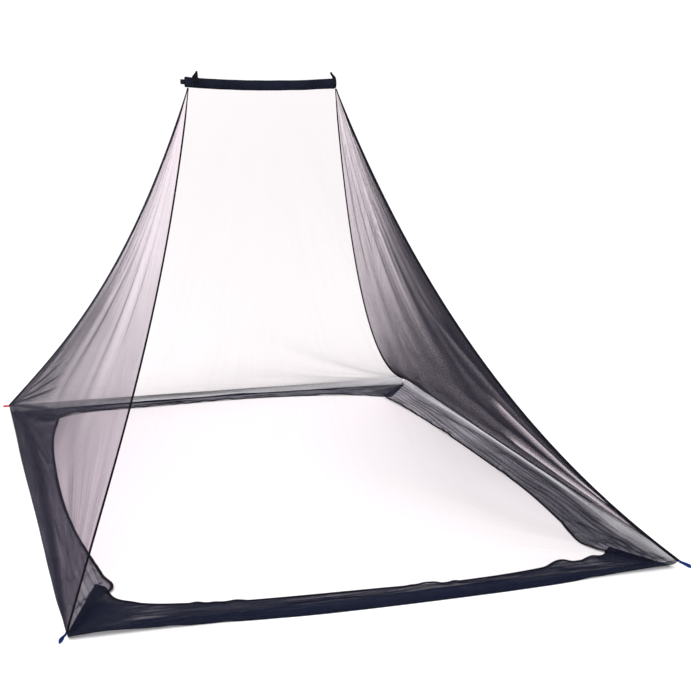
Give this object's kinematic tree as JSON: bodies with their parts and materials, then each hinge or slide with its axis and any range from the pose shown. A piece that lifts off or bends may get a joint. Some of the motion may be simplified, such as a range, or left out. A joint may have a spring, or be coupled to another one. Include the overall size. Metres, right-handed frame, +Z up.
{
  "type": "mosquito net canopy with spreader bar",
  "caption": "Wedge-shaped canopy of fine black mosquito net, hung from a short spreader bar, with bound seams, ground skirts and coloured peg loops at its corners.",
  "frame": {"origin": "on the ground, at the middle of the base", "axes": "+X along the front hem from the left peg to the right one and parallel to the spreader bar, +Y from the front hem to the back hem, +Z up"},
  "size_m": [1.8564, 2.5792, 1.4474],
  "materials": {
    "net": "fine knitted net, matt",
    "seam_tape": "woven tape, matt",
    "sleeve_cloth": "plain woven, matt",
    "bar": "satin",
    "loop_black": "webbing, matt",
    "loop_blue": "webbing, matt",
    "loop_red": "webbing, matt"
  },
  "bodies": {
    "root": {"back_skirt": "net", "back_skirt_binding": "seam_tape", "back_wall": "net", "front_skirt": "net", "front_skirt_binding": "seam_tape", "front_wall": "net", "hang_loop_left": "loop_black", "hang_loop_right": "loop_black", "hip_seam_back_left": "seam_tape", "hip_seam_back_right": "seam_tape", "hip_seam_front_left": "seam_tape", "hip_seam_front_right": "seam_tape", "left_skirt": "net", "left_skirt_binding": "seam_tape", "left_wall": "net", "peg_loop_back_left": "loop_red", "peg_loop_back_right": "loop_red", "peg_loop_front_left": "loop_blue", "peg_loop_front_right": "loop_blue", "right_skirt": "net", "right_skirt_binding": "seam_tape", "right_wall": "net", "spreader_bar": "bar", "top_sleeve": "sleeve_cloth"}
  },
  "joints": []
}
